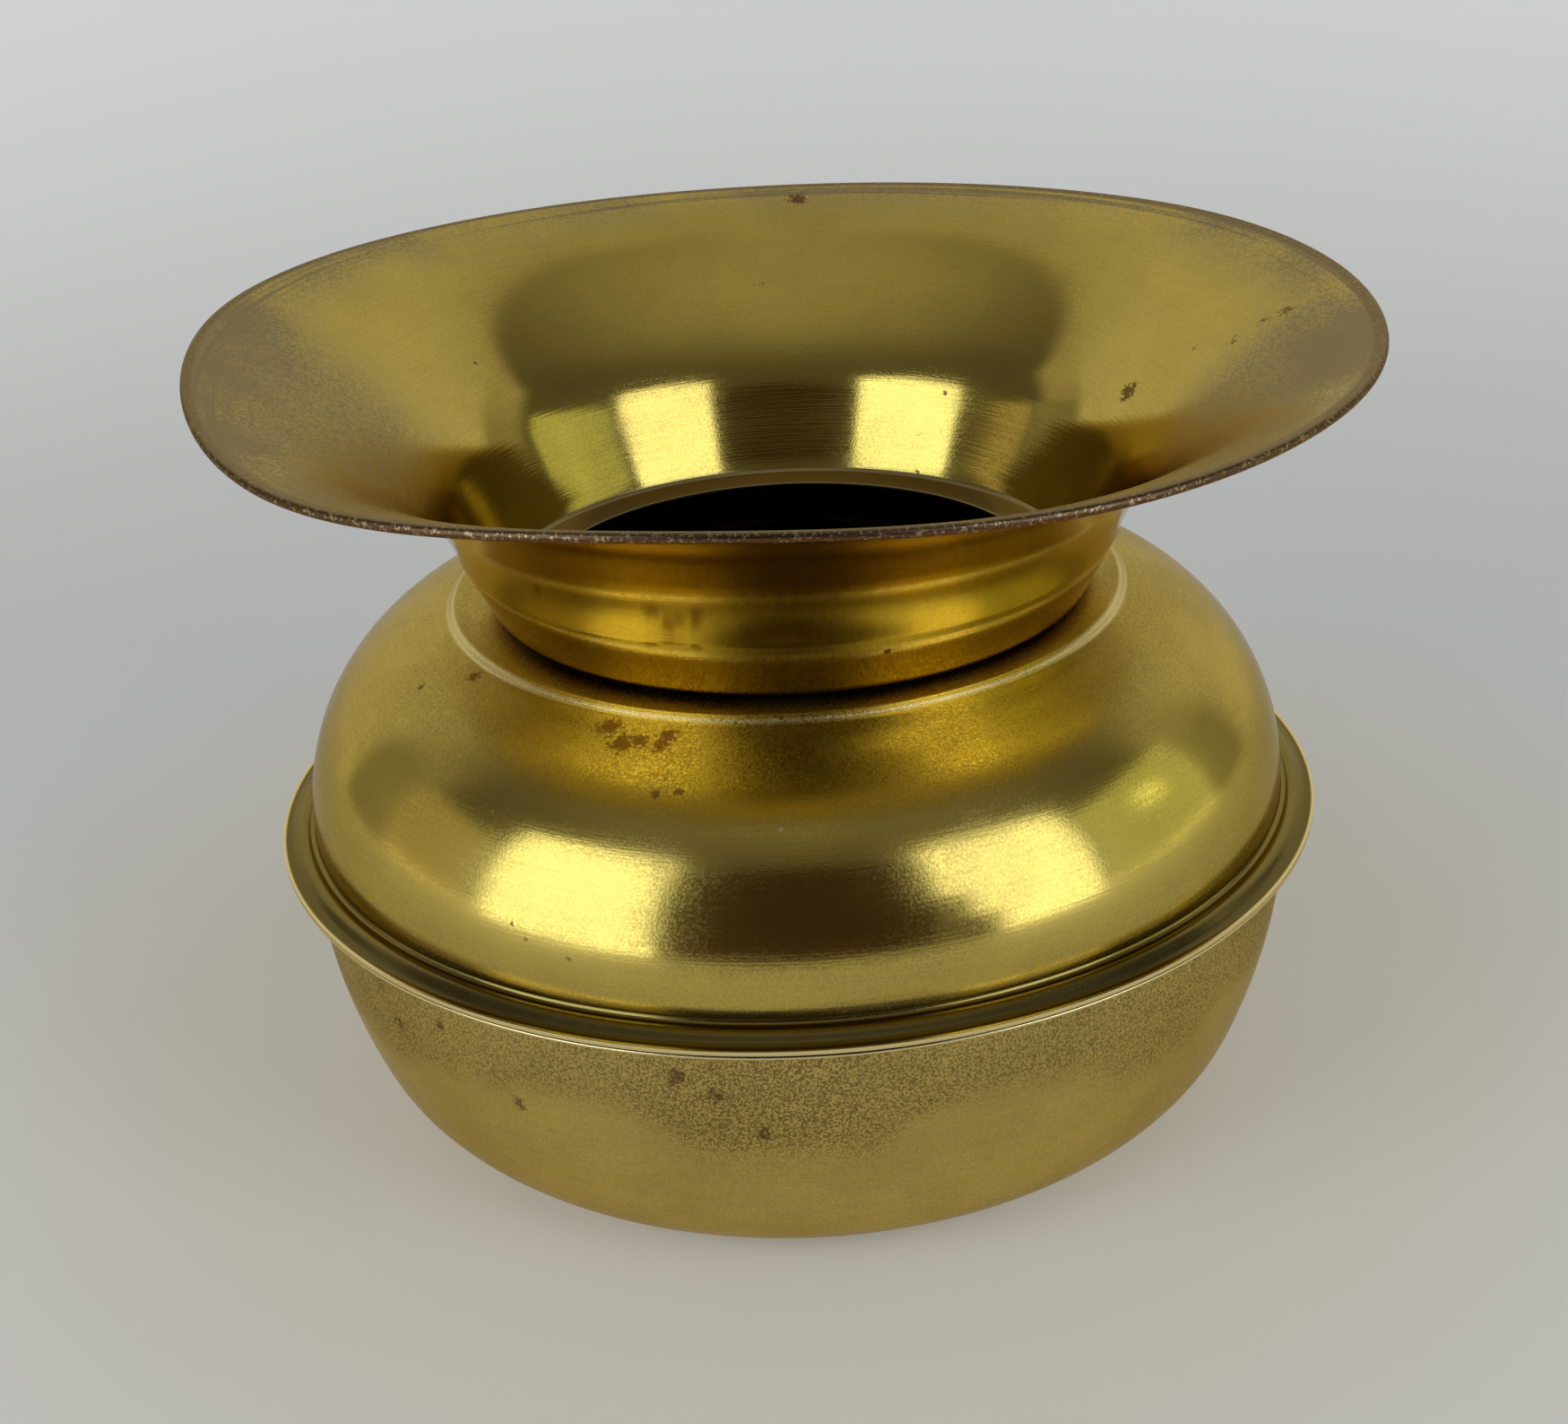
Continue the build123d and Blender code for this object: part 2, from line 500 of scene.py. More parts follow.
def add_card(name, start, end, height, colour):
    """Adds a card that the brass mirrors, as it does the dim room, hidden from the camera."""
    middle, away, width = upright(start, end, 0.0, height)
    bpy.ops.mesh.primitive_plane_add(
        size=1, location=middle, rotation=away.to_track_quat("Z", "Y").to_euler()
    )
    card = bpy.context.object
    card.name = name
    card.scale = (width, height, 1)
    bpy.ops.object.transform_apply(location=True, rotation=True, scale=True)
    card.data.materials.append(rough_material(name, colour))
    card.visible_camera = False


def add_room_light(scene, stage):
    """Lights the room, but for a dark that lies ahead of the object.

    The dark reaches further back the higher it lies, and clears towards the zenith. Behind the
    object only what lies low is a little dim. The camera itself sees an even pale ground.
    """
    world = bpy.data.worlds.new("room")
    world.use_nodes = True
    tree = world.node_tree
    ray = add(tree, "ShaderNodeTexCoord").outputs["Generated"]
    height = add(tree, "ShaderNodeSeparateXYZ", {0: ray}).outputs[2]
    level = vector_node(tree, "MULTIPLY", ray, (1.0, 1.0, 0.0))
    level = vector_node(tree, "NORMALIZE", level)
    facing = vector_node(tree, "DOT_PRODUCT", level, (0.0, -1.0, 0.0))
    border = ramp(tree, height, 0.57, 0.95, -0.24, -0.97, "LINEAR")
    ahead = ramp(tree, math_node(tree, "SUBTRACT", facing, border), -0.07, 0.07)
    zenith = math_node(tree, "POWER", ramp(tree, height, 0.6, 1.0, kind="LINEAR"), 2.0)
    dark = math_node(tree, "MULTIPLY_ADD", zenith, -0.70, 0.74)
    dim = ramp(tree, height, 0.55, 0.30, 0.0, 0.25)
    light = math_node(tree, "SUBTRACT", 1.0, blend_value(tree, ahead, dim, dark))
    room = tree.nodes["Background"]
    tree.links.new(light, room.inputs["Strength"])
    room.inputs["Color"].default_value = opaque(stage.room_colour)
    pale = add(tree, "ShaderNodeBackground", {0: opaque(stage.ground_colour), 1: 1.0})
    seen = add(tree, "ShaderNodeLightPath").outputs["Is Camera Ray"]
    both = add(
        tree, "ShaderNodeMixShader", {0: seen, 1: room.outputs[0], 2: pale.outputs[0]},
    )
    tree.links.new(both.outputs[0], tree.nodes["World Output"].inputs["Surface"])
    scene.world = world


def add_camera(scene):
    """Adds the camera at the place, turn and lens that were fitted to the photograph."""
    bpy.ops.object.camera_add()
    camera = bpy.context.object
    camera.name = "camera"
    camera.matrix_world = (
        Matrix.Translation((0, -423.08 * MM, 262.90 * MM))
        @ Matrix.Rotation(math.radians(0.412), 4, "Z")
        @ Matrix.Rotation(math.radians(90 - 24.984), 4, "X")
        @ Matrix.Rotation(math.radians(-3.162), 4, "Z")
    )
    camera.data.sensor_width = 36
    camera.data.lens = 58.31
    camera.data.shift_x = 0.00496
    camera.data.shift_y = 0.00502
    camera.data.clip_start = 0.01
    scene.camera = camera


# Materials


# Radius in millimetres at which the marks of the turning have their full length
SWIRL_R = 70
# Steps of vector arithmetic whose result is a number
NUMBER_STEPS = ("LENGTH", "DISTANCE", "DOT_PRODUCT")

# Rust spots: place and radius in millimetres
BOWL_RUST = (
    ((-72.2, -53.5, 44.8), 1.2), ((-69.3, -56.4, 39.0), 1.5), ((-60.9, -66.0, 44.5), 1.4),
    ((-48.0, -74.4, 33.6), 1.6), ((-21.1, -87.4, 45.5), 1.9), ((-15.0, -88.4, 42.4), 1.6),
    ((-8.2, -88.4, 34.9), 1.7), ((7.5, -88.7, 36.2), 0.86), ((25.1, -86.2, 44.0), 0.57),
    ((27.3, -85.5, 43.4), 0.57),
)
SHOULDER_RUST = (
    ((-19.8, -60.3, 92.1), 2.0), ((-22.0, -70.3, 86.9), 0.9), ((-18.2, -70.8, 87.3), 0.8),
    ((-29.4, -56.2, 92.2), 2.6), ((-27.4, -60.2, 91.4), 2.2), ((-21.0, -62.0, 91.3), 1.8),
    ((-24.4, -60.5, 91.5), 1.8), ((-62.6, -30.4, 89.5), 0.77),
    ((-53.9, -58.2, 81.7), 0.58), ((-48.3, -62.9, 81.7), 0.43), ((-45.8, -74.0, 67.3), 0.43),
    ((-43.7, -75.8, 65.3), 0.43), ((-36.8, -79.6, 63.8), 0.5), ((-52.9, -33.6, 92.4), 1.6),
)
MOUTH_RUST = (
    ((6.4, 94.1, 139.1), 2.1), ((90.2, 7.2, 135.0), 1.8), ((86.7, 7.9, 133.0), 1.6),
    ((81.5, 7.8, 129.9), 1.6), ((76.1, 14.4, 127.3), 1.2), ((63.7, 18.2, 119.3), 2.2),
    ((-56.4, 39.5, 124.4), 0.51), ((-58.3, 59.8, 134.5), 0.53), ((-53.9, 62.9, 134.0), 0.54),
    ((-38.5, 37.5, 100.0), 0.52), ((-1.6, 73.8, 127.1), 0.91), ((68.6, -0.5, 120.5), 0.48),
    ((32.8, 49.7, 110.4), 0.53), ((31.9, 47.0, 103.7), 0.53), ((27.8, 48.9, 102.7), 0.53),
    ((26.9, 45.7, 96.2), 0.53), ((47.5, 31.9, 103.6), 0.51), ((-80.5, -20.1, 132.4), 0.91),
    ((-75.0, -20.7, 129.0), 0.91), ((-80.0, -3.5, 131.7), 0.95), ((15.6, -55.7, 102.5), 0.85),
)
# Pale specks, in the same way, and their colour
SHOULDER_PALE = (((4.7, -72.4, 87.7), 0.5), ((-2.7, -77.7, 83.4), 0.5))
MOUTH_PALE = (((-31.9, -47.5, 103.1), 0.58),)
PALE_COLOUR = "#D8D0A8"


def linear(colour):
    """Turns an sRGB hex colour into linear red, green and blue."""
    parts = [int(colour[i:i + 2], 16) / 255 for i in (1, 3, 5)]
    return tuple(c / 12.92 if c <= 0.04045 else ((c + 0.055) / 1.055) ** 2.4 for c in parts)


def add(tree, kind, inputs=None, **settings):
    """Adds a node with its settings, and gives its inputs their values or links."""
    node = tree.nodes.new(kind)
    for name, value in settings.items():
        setattr(node, name, value)
    for key, value in (inputs or {}).items():
        if isinstance(value, bpy.types.NodeSocket):
            tree.links.new(value, node.inputs[key])
        else:
            node.inputs[key].default_value = value
    return node


def opaque(colour):
    """A linear colour with its alpha, for a node."""
    return (*colour, 1.0)


def rgba(colour):
    """An sRGB hex colour as a linear colour for a node."""
    return opaque(linear(colour))


def metal(name):
    """A new metal with its tree and its shader, which stays yellow where it is seen at a slant."""
    material = bpy.data.materials.new(name)
    material.use_nodes = True
    shader = material.node_tree.nodes["Principled BSDF"]
    shader.inputs["Metallic"].default_value = 1.0
    shader.inputs["Specular Tint"].default_value = (0.85, 0.75, 0.55, 1.0)
    return material, material.node_tree, shader


def math_node(tree, operation, *values):
    """One step of arithmetic on numbers or sockets."""
    return add(tree, "ShaderNodeMath", dict(enumerate(values)), operation=operation).outputs[0]


def times(tree, one, other):
    """The product of two patterns, or of a pattern and its share."""
    return math_node(tree, "MULTIPLY", one, other)


def larger(tree, one, other):
    """The stronger of two patterns."""
    return math_node(tree, "MAXIMUM", one, other)


def vector_node(tree, operation, *values):
    """One step of arithmetic on vectors."""
    node = add(tree, "ShaderNodeVectorMath", dict(enumerate(values)), operation=operation)
    return node.outputs["Value" if operation in NUMBER_STEPS else "Vector"]


def ramp(tree, value, low, high, start=0.0, end=1.0, kind="SMOOTHSTEP"):
    """Turns a value between low and high softly into one between start and end."""
    node = add(
        tree, "ShaderNodeMapRange", {0: value, 1: low, 2: high, 3: start, 4: end},
        interpolation_type=kind,
    )
    return node.outputs[0]


def blend(tree, share, under, over):
    """Lays one colour over another."""
    node = add(tree, "ShaderNodeMix", {0: share, 6: under, 7: over}, data_type="RGBA")
    return node.outputs[2]


def blend_value(tree, share, under, over):
    """A value between two others."""
    return add(tree, "ShaderNodeMix", {0: share, 2: under, 3: over}, data_type="FLOAT").outputs[0]


def build_up(tree, *layers):
    """The sum of layers, at most 1: rows of a share and the patterns that are multiplied in it."""
    total = 0.0
    for share, pattern, *masks in layers:
        for mask in masks:
            pattern = times(tree, pattern, mask)
        total = math_node(tree, "MULTIPLY_ADD", pattern, share, total)
    return math_node(tree, "MINIMUM", total, 1.0)


def lathe_place(tree, centre, slope):
    """Where a point lies: its place, depth, height, radius, bearing and way along the outline.

    The slope is 1 where the outline runs up and outwards, and -1 where it runs down and outwards.
    """
    place = add(tree, "ShaderNodeTexCoord").outputs["Object"]
    shift = (-centre[0] * MM, -centre[1] * MM, 0)
    spot = add(tree, "ShaderNodeMapping", {"Vector": place, "Location": shift})
    x, y, z = add(tree, "ShaderNodeSeparateXYZ", {0: spot.outputs[0]}).outputs
    flat = add(tree, "ShaderNodeCombineXYZ", {0: x, 1: y}).outputs[0]
    radius = vector_node(tree, "LENGTH", flat)
    return {
        "place": place, "y": y, "height": z, "radius": radius,
        "bearing": vector_node(tree, "NORMALIZE", flat),
        "along": math_node(tree, "MULTIPLY_ADD", z, slope, radius),
    }


def noise(tree, vector, size, detail=2.0, rough=0.5, low=0.35, high=0.65, seed=0.0):
    """Noise with features of a size in millimetres, stretched to run from 0 to 1."""
    inputs = {
        "Vector": vector, "W": seed, "Scale": 1 / (size * MM), "Detail": detail,
        "Roughness": rough,
    }
    cloud = add(tree, "ShaderNodeTexNoise", inputs, noise_dimensions="4D")
    return ramp(tree, cloud.outputs["Fac"], low, high)


def fine_grain(tree, at):
    """The finest grain of the brass, that blurs what it mirrors."""
    return noise(tree, at["place"], 0.42, detail=1.0, low=0.30, high=0.70)


def swirl(tree, at, length, width, detail=2.0, low=0.35, high=0.65, seed=0.0):
    """Noise drawn out along the turning: marks of a length and a width in millimetres."""
    stretch = SWIRL_R * MM * width / length
    around = vector_node(tree, "MULTIPLY", at["bearing"], (stretch, stretch, stretch))
    across = add(tree, "ShaderNodeCombineXYZ", {2: at["along"]}).outputs[0]
    vector = vector_node(tree, "ADD", around, across)
    return noise(tree, vector, width, detail, 0.55, low, high, seed)


def distance(tree, at, place):
    """How far a point lies from a place that is given in millimetres."""
    return vector_node(tree, "DISTANCE", at["place"], tuple(c * MM for c in place))


def near(tree, at, place, inner, outer):
    """A soft round area about a place, in millimetres."""
    return ramp(tree, distance(tree, at, place), inner * MM, outer * MM, 1.0, 0.0)


def spots(tree, at, rows, broken=1.0):
    """Marks at places, in rows of place and radius; broken is how far flecks fray their edges."""
    # A mark fades from its middle outwards; flecks are added before its edge is cut sharp
    total = 0.0
    for place, size in rows:
        away = distance(tree, at, place)
        mark = ramp(tree, away, 0.2 * size * MM, 1.7 * size * MM, 1.0, 0.0, "LINEAR")
        total = larger(tree, total, mark)
    flecks = noise(tree, at["place"], 0.8, 5.0, 0.8, low=0.34, high=0.66, seed=12.0)
    total = math_node(tree, "MULTIPLY_ADD", flecks, 1.1 * broken, times(tree, total, 1.4))
    return ramp(tree, total, 0.75 + 0.55 * broken, 0.9 + 0.65 * broken)


def dents(tree, *heights):
    """Bumps one after another: pairs of a height pattern and its depth in millimetres."""
    normal = None
    for pattern, depth in heights:
        inputs = {"Height": pattern, "Strength": 1.0, "Distance": depth * MM}
        if normal is not None:
            inputs["Normal"] = normal
        normal = add(tree, "ShaderNodeBump", inputs).outputs[0]
    return normal


def surface(tree, shader, colour, rough, normal):
    """Gives the shader its colour, its roughness and its fine relief."""
    tree.links.new(colour, shader.inputs["Base Color"])
    tree.links.new(rough, shader.inputs["Roughness"])
    tree.links.new(normal, shader.inputs["Normal"])


def bowl_brass(finish):
    """Brass sheet, spun and polished: a satin gold mirror, speckled dull brown above its belly."""
    material, tree, shader = metal("spun brass, bowl")
    at = lathe_place(tree, VESSEL_CENTRE, slope=1.0)
    lines = swirl(tree, at, 14, 0.5)
    grain = fine_grain(tree, at)
    clouds = noise(tree, at["place"], 16, 5.0, 0.6, low=0.36, high=0.66, seed=3.0)
    speckle = noise(tree, at["place"], 0.42, 2.0, 0.7, low=0.45, high=0.56, seed=1.0)
    uneven = noise(tree, at["place"], 22, 2.0, 0.5, low=0.30, high=0.70, seed=7.0)
    lower = math_node(tree, "MULTIPLY_ADD", uneven, -9 * MM, at["height"])
    belt = ramp(tree, lower, 24 * MM, 34 * MM)
    cluster = near(tree, at, (-11.0, -88.5, 40.5), 5, 22)
    edge_wear_and_sheen = ramp(tree, at["radius"], 93.3 * MM, 93.8 * MM)
    film = build_up(
        tree, (0.18, clouds), (0.22, grain), (0.72, belt, speckle), (0.55, cluster, speckle),
        (0.08, lines),
    )
    film = math_node(tree, "MULTIPLY_ADD", times(tree, film, edge_wear_and_sheen), -0.8, film)
    rust = spots(tree, at, BOWL_RUST)
    clean = blend(tree, 0.7, opaque(finish.brass_colour), opaque(finish.dull_colour))
    colour = blend(tree, film, clean, opaque(finish.film_colour))
    # The flange's edge is free of film where it is worn, and painted pale as a highlight line
    colour = blend(tree, edge_wear_and_sheen, colour, opaque(finish.wear_and_sheen_colour))
    colour = blend(tree, times(tree, rust, 0.8), colour, rgba("#5E4426"))
    rough = ramp(tree, larger(tree, film, rust), 0.0, 1.0, 0.24, 0.52)
    normal = dents(tree, (lines, 0.004), (grain, 0.004), (speckle, 0.005))
    surface(tree, shader, colour, rough, normal)
    return material


def shoulder_brass(finish):
    """Brass sheet, spun over a former: a gold mirror on the dome, gritty and brown at the neck."""
    material, tree, shader = metal("spun brass, shoulder")
    at = lathe_place(tree, VESSEL_CENTRE, slope=-1.0)
    lines = swirl(tree, at, 18, 0.5)
    grain = fine_grain(tree, at)
    clouds = noise(tree, at["place"], 18, 5.0, 0.6, low=0.36, high=0.66, seed=5.0)
    speckle = noise(tree, at["place"], 0.36, 4.0, 0.8, low=0.42, high=0.58, seed=2.0)
    high = ramp(tree, at["height"], 80 * MM, 90 * MM)
    neck = ramp(tree, at["radius"], 60.0 * MM, 59.0 * MM)
    grit = near(tree, at, (-21.0, -63.0, 91.0), 4, 15)
    grit_right = near(tree, at, (25.0, -64.0, 90.0), 5, 20)
    seam = times(
        tree, ramp(tree, at["height"], 58.0 * MM, 55.8 * MM),
        ramp(tree, at["radius"], 94.0 * MM, 93.5 * MM),
    )
    cove = ramp(tree, at["radius"], 90.6 * MM, 91.8 * MM)
    edge_wear_and_sheen = ramp(tree, at["radius"], 93.6 * MM, 94.0 * MM)
    step = times(
        tree, ramp(tree, at["radius"], 58.9 * MM, 59.5 * MM),
        ramp(tree, at["radius"], 60.9 * MM, 60.3 * MM),
    )
    film = build_up(
        tree, (0.18, clouds), (0.24, grain), (0.16, high, speckle), (0.32, grit, speckle),
        (0.16, grit_right, speckle), (0.06, neck), (0.08, lines),
    )
    # Darker in the seam band: dirt in the seam, with painted shade deepening it in the cove
    dirt_and_cove_shade = times(tree, seam, math_node(tree, "MULTIPLY_ADD", cove, 0.20, 0.72))
    # The lap's edge and the neck step are painted pale: partly wear, partly painted highlight
    # lines
    wear_and_sheen = larger(tree, edge_wear_and_sheen, times(tree, step, 0.7))
    rust = spots(tree, at, SHOULDER_RUST)
    pale = spots(tree, at, SHOULDER_PALE, broken=0.0)
    colour = blend(tree, film, opaque(finish.brass_colour), opaque(finish.film_colour))
    colour = blend(tree, dirt_and_cove_shade, colour, rgba("#5C5130"))
    colour = blend(tree, wear_and_sheen, colour, opaque(finish.wear_and_sheen_colour))
    colour = blend(tree, times(tree, rust, 0.75), colour, rgba("#6E431F"))
    colour = blend(tree, times(tree, pale, 0.6), colour, rgba(PALE_COLOUR))
    rough = ramp(tree, larger(tree, film, rust), 0.0, 1.0, 0.14, 0.46)
    gritty = times(tree, speckle, high)
    normal = dents(tree, (lines, 0.003), (grain, 0.003), (gritty, 0.007))
    surface(tree, shader, colour, rough, normal)
    return material


def mouth_brass(finish):
    """Brass sheet, spun thin: the vessel's clearest mirror inside, brown and ringed at the rim."""
    material, tree, shader = metal("spun brass, mouth")
    at = lathe_place(tree, MOUTH_CENTRE, slope=1.0)
    throat_at = lathe_place(tree, THROAT_CENTRE, slope=1.0)
    lines = swirl(tree, at, 22, 0.5)
    grain = fine_grain(tree, at)
    clouds = noise(tree, at["place"], 20, 5.0, 0.6, low=0.36, high=0.66, seed=8.0)
    speckle = noise(tree, at["place"], 0.6, 3.0, 0.75, low=0.44, high=0.60, seed=4.0)
    patches = noise(tree, at["place"], 45, 3.0, 0.6, low=0.35, high=0.60, seed=9.0)
    rings = swirl(tree, at, 90, 0.9, 1.0, low=0.50, high=0.62, seed=6.0)
    faces = add(tree, "ShaderNodeNewGeometry").outputs["Normal"]
    up = add(tree, "ShaderNodeSeparateXYZ", {0: faces}).outputs[2]
    outside = ramp(tree, up, 0.05, -0.05)
    inside = ramp(tree, up, -0.05, 0.05)
    uneven = math_node(tree, "MULTIPLY_ADD", at["y"], -0.06, at["radius"])
    brim = ramp(tree, uneven, 79 * MM, 97 * MM)
    edge = ramp(tree, at["radius"], 93 * MM, 98 * MM)
    roll = ramp(tree, at["radius"], 98.7 * MM, 99.5 * MM)
    throat = ramp(tree, throat_at["radius"], 45.25 * MM, 45.10 * MM)
    ledge = ramp(tree, throat_at["radius"], 52.4 * MM, 51.9 * MM)
    left = near(tree, at, (-82.0, -12.0, 132.0), 14, 48)
    right = near(tree, at, (84.0, -16.0, 131.0), 8, 34)
    flanks = times(tree, larger(tree, left, right), inside)
    film = build_up(tree, (0.14, clouds), (0.20, grain), (0.45, ledge), (0.08, lines))
    grey = build_up(
        tree, (0.45, brim, speckle), (0.55, brim, patches), (0.60, edge, rings), (0.58, flanks),
        (0.40, flanks, speckle), (0.75, ledge),
    )
    grey = times(tree, grey, inside)
    rust = spots(tree, at, MOUTH_RUST)
    pale = spots(tree, at, MOUTH_PALE, broken=0.0)
    clean = blend(tree, outside, opaque(finish.brass_colour), opaque(finish.outside_colour))
    colour = blend(tree, film, clean, opaque(finish.film_colour))
    colour = blend(tree, grey, colour, opaque(finish.rim_colour))
    colour = blend(tree, times(tree, rust, 0.8), colour, rgba("#5E3A22"))
    colour = blend(tree, times(tree, pale, 0.7), colour, rgba(PALE_COLOUR))
    colour = blend(tree, roll, colour, roll_colour(tree, up, speckle))
    # Painted shade: the spigot's inner wall turns near black, for the dark hole down into the
    # vessel
    colour = blend(tree, throat, colour, rgba("#1C1608"))
    dull = larger(tree, larger(tree, film, rust), grey)
    dull = larger(tree, dull, times(tree, roll, 0.7))
    rough = ramp(tree, dull, 0.0, 1.0, 0.085, 0.42)
    ringed = times(tree, rings, edge)
    normal = dents(tree, (lines, 0.003), (grain, 0.002), (ringed, -0.02))
    surface(tree, shader, colour, rough, normal)
    return material


def roll_colour(tree, up, speckle):
    """Brown of the rolled rim, with painted light by which way it faces: a redder painted
    reflection underneath, a painted highlight on top, and pale rubbed specks.
    """
    under = ramp(tree, up, 0.15, -0.35)
    over = ramp(tree, up, 0.72, 0.92)
    specks_and_highlight = larger(tree, ramp(tree, speckle, 0.75, 1.0), times(tree, over, 0.5))
    brown = blend(tree, under, rgba("#57432F"), rgba("#6A432C"))
    return blend(tree, times(tree, specks_and_highlight, 0.8), brown, rgba("#A8966E"))


def stained_metal(name, size, detail, clean, stained, rough):
    """A metal with stains of a size in millimetres, as rough in them as beside them."""
    material, tree, shader = metal(name)
    place = add(tree, "ShaderNodeTexCoord").outputs["Object"]
    stains = noise(tree, place, size, detail, 0.6)
    tree.links.new(blend(tree, stains, rgba(clean), rgba(stained)), shader.inputs["Base Color"])
    shader.inputs["Roughness"].default_value = rough
    return material


def shade_dark_inside(name):
    """Painted shade for the inside of the vessel: black-brown and dull, so that no light shows in
    it.
    """
    return stained_metal(name, 12, 5.0, "#1A150C", "#2E2514", 0.6)


def drawn_wire():
    """Plain drawn wire, brown with age, that shows only in the open side of the roll."""
    return stained_metal("drawn wire", 2.5, 4.0, "#5A5046", "#3A2C20", 0.5)


def soft_solder():
    """Soft solder, tinned in the seam and blackened: a dull dark hairline."""
    return stained_metal("soft solder", 4.0, 4.0, "#26221C", "#3C362C", 0.55)


# Pieces


class SPITTOON_OT_bowl(Operator):
    """Model the bowl, its base with a shallow push-up and its out-turned flange"""

    bl_idname = "spittoon.bowl"
    bl_label = "Bowl"

    def execute(self, context):
        vessel = context.scene.spittoon_vessel
        finish = context.scene.spittoon_finish
        start = (0, 1.2)
        bowl = start_point("bowl", *start)
        draw(start, (
            (45.8, 1.2, 1.5),  # push-up
            (47.8, 0, 1.5),  # standing ring, inside
            (60.29, 0, 0),  # standing ring, outside
            (82.53, 14.99, None),  # foot bend
            (89.3, 49.7, None),  # wall
            (89.3, 52.2, 0.9),  # root of the flange
            (94.05, 52.2, 0),  # edge of the flange
        ))
        turn_outline(vessel.turns, hollow_side=True)
        bowl.data.materials.append(bowl_brass(finish))
        # The bowl's inside is painted near black, as painted shade for the dark within the closed
        # vessel
        bowl.data.materials.append(shade_dark_inside("painted shade brass, bowl inside"))
        thicken(bowl, vessel.sheet)
        soften(bowl, vessel.edge_round)
        seat(bowl, "vessel", "body_brass", "bowl_shell")
        return {"FINISHED"}


class SPITTOON_OT_shoulder(Operator):
    """Model the shoulder: collar, neck land, step, dome, groove, ridge, cove and lap"""

    bl_idname = "spittoon.shoulder"
    bl_label = "Shoulder"

    def execute(self, context):
        vessel = context.scene.spittoon_vessel
        finish = context.scene.spittoon_finish
        start = (46.6, 86.75)
        shoulder = start_point("shoulder", *start)
        draw(start, (
            (46.6, 93.35, 1.2),  # top of the collar
            (50.6, 93.35, 6.0),  # neck land
            (59.6, 94.25, 1.25),  # top of the step
            (60.3, 93.05, 1.45),  # foot of the step
            (61.27, 92.80, 0),  # top of the dome
            (88.2, 56.85, None),  # foot of the dome
            (88.2, 54.85, 0.8),  # groove
            (90.6, 55.9, 2.0),  # ridge
            (92.6, 53.85, 2.5),  # cove
            (94.25, 53.85, 0),  # edge of the lap
        ))
        turn_outline(vessel.turns)
        shoulder.data.materials.append(shoulder_brass(finish))
        # The shoulder's inside is painted near black, as painted shade for the dark within the
        # closed vessel
        shoulder.data.materials.append(shade_dark_inside("painted shade brass, shoulder inside"))
        thicken(shoulder, vessel.sheet)
        soften(shoulder, vessel.edge_round)
        seat(shoulder, "vessel", "body_brass", "shoulder_shell")
        return {"FINISHED"}


class SPITTOON_OT_mouth(Operator):
    """Model the flared mouth, with its spigot, ledge, creased foot and rolled rim"""

    bl_idname = "spittoon.mouth"
    bl_label = "Mouth"

    def execute(self, context):
        vessel = context.scene.spittoon_vessel
        # Both faces of the sheet are drawn from the spigot's end up to the roll, the lower first
        under = (45.6, 87.8)
        over = (45.0, 87.8)
        funnel = start_point("funnel", *under)
        edge, heading = draw(under, (
            (45.6, 94.3, 0.8),  # root of the spigot
            (52.95, 94.3, 3.6),  # edge of the ledge
            (58.7, 105.9, 1.2),  # crease
            (59.0, 106.9, 0),  # foot of the drum
            (66.67, 119.24, None),  # drum
            (75.0, 126.4, None),  # inner flare
            (ROLL_HUB.x + ROLL_START[0] * ROLL_R, ROLL_HUB.y + ROLL_START[1] * ROLL_R, None),
        ))
        across = Vector((-heading.y, heading.x))
        hub = edge - across * ROLL_R
        bend(hub, ROLL_R, ROLL_TURN)
        turned = Matrix.Rotation(ROLL_TURN, 2) @ across
        inner_end = hub + turned * ROLL_R
        outer_end = hub + turned * (ROLL_R + ROLL_SHEET)
        add_point(*over)
        draw(over, (
            (45.0, 94.9, 0.5),  # throat
            (51.9, 94.9, 1.1),  # foot of the wall
            (56.6, 104.2, 0),  # crease
            (59.46, 110.0, None),  # foot of the drum
            (66.30, 119.72, None),  # drum
            (74.6, 127.0, None),  # inner flare
            (edge.x + across.x * ROLL_SHEET, edge.y + across.y * ROLL_SHEET, None),
        ))
        bend(hub, ROLL_R + ROLL_SHEET, ROLL_TURN)
        join_points(funnel, under, over)
        join_points(funnel, inner_end, outer_end)
        turn_outline(vessel.turns)
        soften(funnel, vessel.edge_round / 2)
        lean_mouth(funnel, context.scene.spittoon_mouth)
        funnel.data.materials.append(mouth_brass(context.scene.spittoon_finish))
        seat(funnel, "mouth", "mouth_brass", "mouth_funnel")
        return {"FINISHED"}


class SPITTOON_OT_wire(Operator):
    """Model the wire that the rim is rolled over, bent with it"""

    bl_idname = "spittoon.wire"
    bl_label = "Rim wire"

    def execute(self, context):
        wire = start_point("wire", ROLL_HUB.x + ROLL_R - WIRE_GAP, ROLL_HUB.y)
        bend(ROLL_HUB, ROLL_R - WIRE_GAP, math.tau)
        turn_outline(context.scene.spittoon_vessel.turns)
        bpy.ops.object.shade_smooth()
        lean_mouth(wire, context.scene.spittoon_mouth)
        wire.data.materials.append(drawn_wire())
        seat(wire, "mouth", "rim_wire", "rim_wire")
        return {"FINISHED"}


class SPITTOON_OT_solder(Operator):
    """Give the film of solder in the seam its dull dark surface"""

    bl_idname = "spittoon.solder"
    bl_label = "Solder"

    def execute(self, context):
        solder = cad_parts["seam_solder"]
        solder.data.materials.clear()
        solder.data.materials.append(soft_solder())
        return {"FINISHED"}


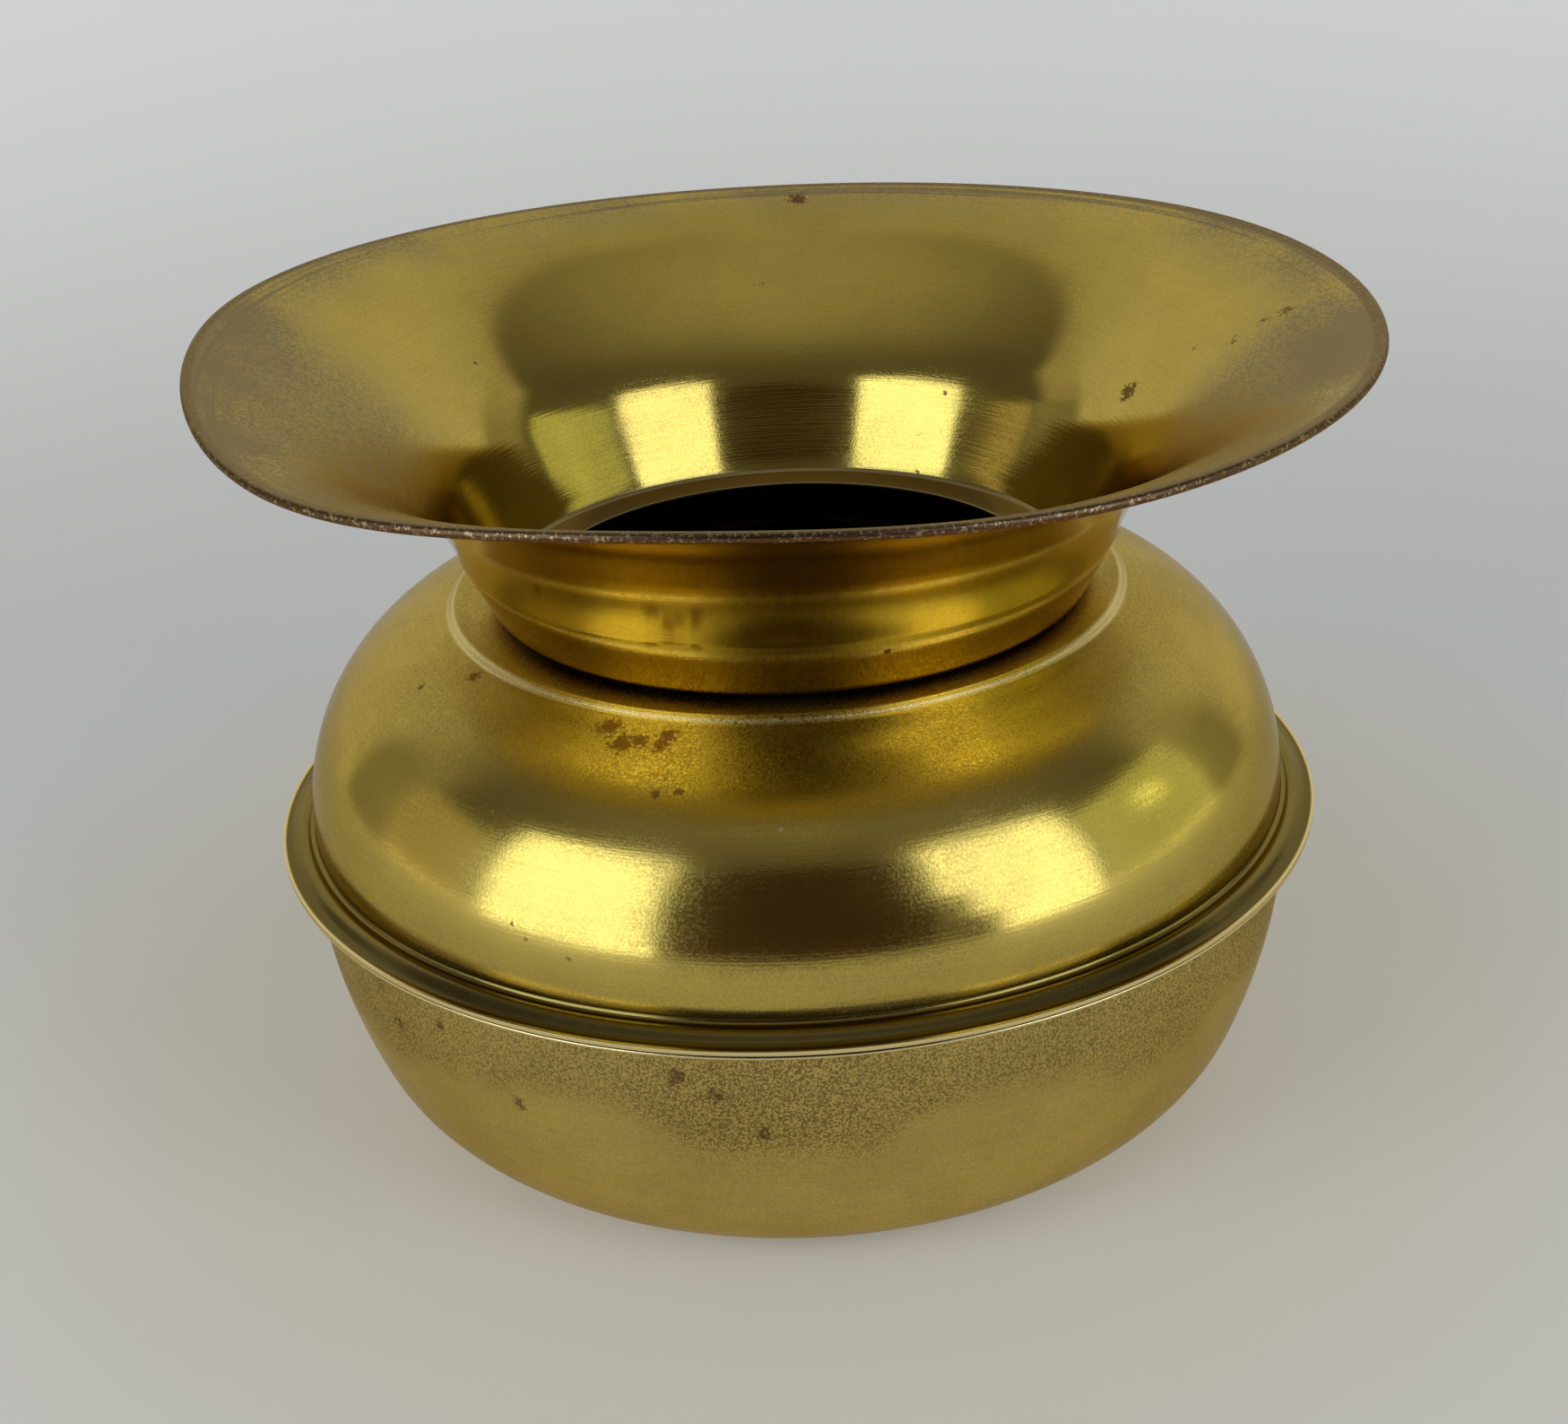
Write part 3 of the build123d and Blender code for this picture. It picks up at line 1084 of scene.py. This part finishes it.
class SPITTOON_OT_stage(Operator):
    """Set the pale sweep, the soft boxes, the cards, the room's light and the camera"""

    bl_idname = "spittoon.stage"
    bl_label = "Stage"

    def execute(self, context):
        stage = context.scene.spittoon_stage
        add_sweep(stage)
        for name, start, end, low, high, strength, tint in SOFT_BOXES:
            add_soft_box(name, start, end, low, high, strength * stage.light, tint)
        for name, start, end, height, grey in CARDS:
            colour = stage.grey_colour if grey else stage.card_colour
            add_card(name, start, end, height, colour)
        add_room_light(context.scene, stage)
        add_camera(context.scene)
        context.scene.view_settings.view_transform = "Standard"
        return {"FINISHED"}


class SPITTOON_PT_panel(Panel):
    """Sizes and steps of the spittoon"""

    bl_idname = "SPITTOON_PT_panel"
    bl_label = "Brass spittoon"
    bl_space_type = "VIEW_3D"
    bl_region_type = "UI"
    bl_category = "Spittoon"

    def draw(self, context):
        scene = context.scene
        for group in (
            scene.spittoon_vessel, scene.spittoon_mouth, scene.spittoon_finish,
            scene.spittoon_stage,
        ):
            for name in group.bl_rna.properties.keys():
                if name not in ("rna_type", "name"):
                    self.layout.prop(group, name)
        for step in STEPS:
            self.layout.operator(step.bl_idname)


SETTINGS = (VesselSettings, MouthSettings, FinishSettings, StageSettings)
STEPS = (
    SPITTOON_OT_bowl, SPITTOON_OT_shoulder, SPITTOON_OT_solder, SPITTOON_OT_mouth,
    SPITTOON_OT_wire, SPITTOON_OT_stage,
)


def register():
    """Registers the settings, the steps and the panel."""
    for cls in SETTINGS + STEPS + (SPITTOON_PT_panel,):
        bpy.utils.register_class(cls)
    bpy.types.Scene.spittoon_vessel = PointerProperty(type=VesselSettings)
    bpy.types.Scene.spittoon_mouth = PointerProperty(type=MouthSettings)
    bpy.types.Scene.spittoon_finish = PointerProperty(type=FinishSettings)
    bpy.types.Scene.spittoon_stage = PointerProperty(type=StageSettings)


def unregister():
    """Takes the settings, the steps and the panel out again."""
    del bpy.types.Scene.spittoon_stage
    del bpy.types.Scene.spittoon_finish
    del bpy.types.Scene.spittoon_mouth
    del bpy.types.Scene.spittoon_vessel
    for cls in reversed(SETTINGS + STEPS + (SPITTOON_PT_panel,)):
        bpy.utils.unregister_class(cls)


def main():
    """Runs every step."""
    register()
    bpy.ops.spittoon.bowl()
    bpy.ops.spittoon.shoulder()
    bpy.ops.spittoon.solder()
    bpy.ops.spittoon.mouth()
    bpy.ops.spittoon.wire()
    bpy.ops.spittoon.stage()


if __name__ == "__main__":
    main()
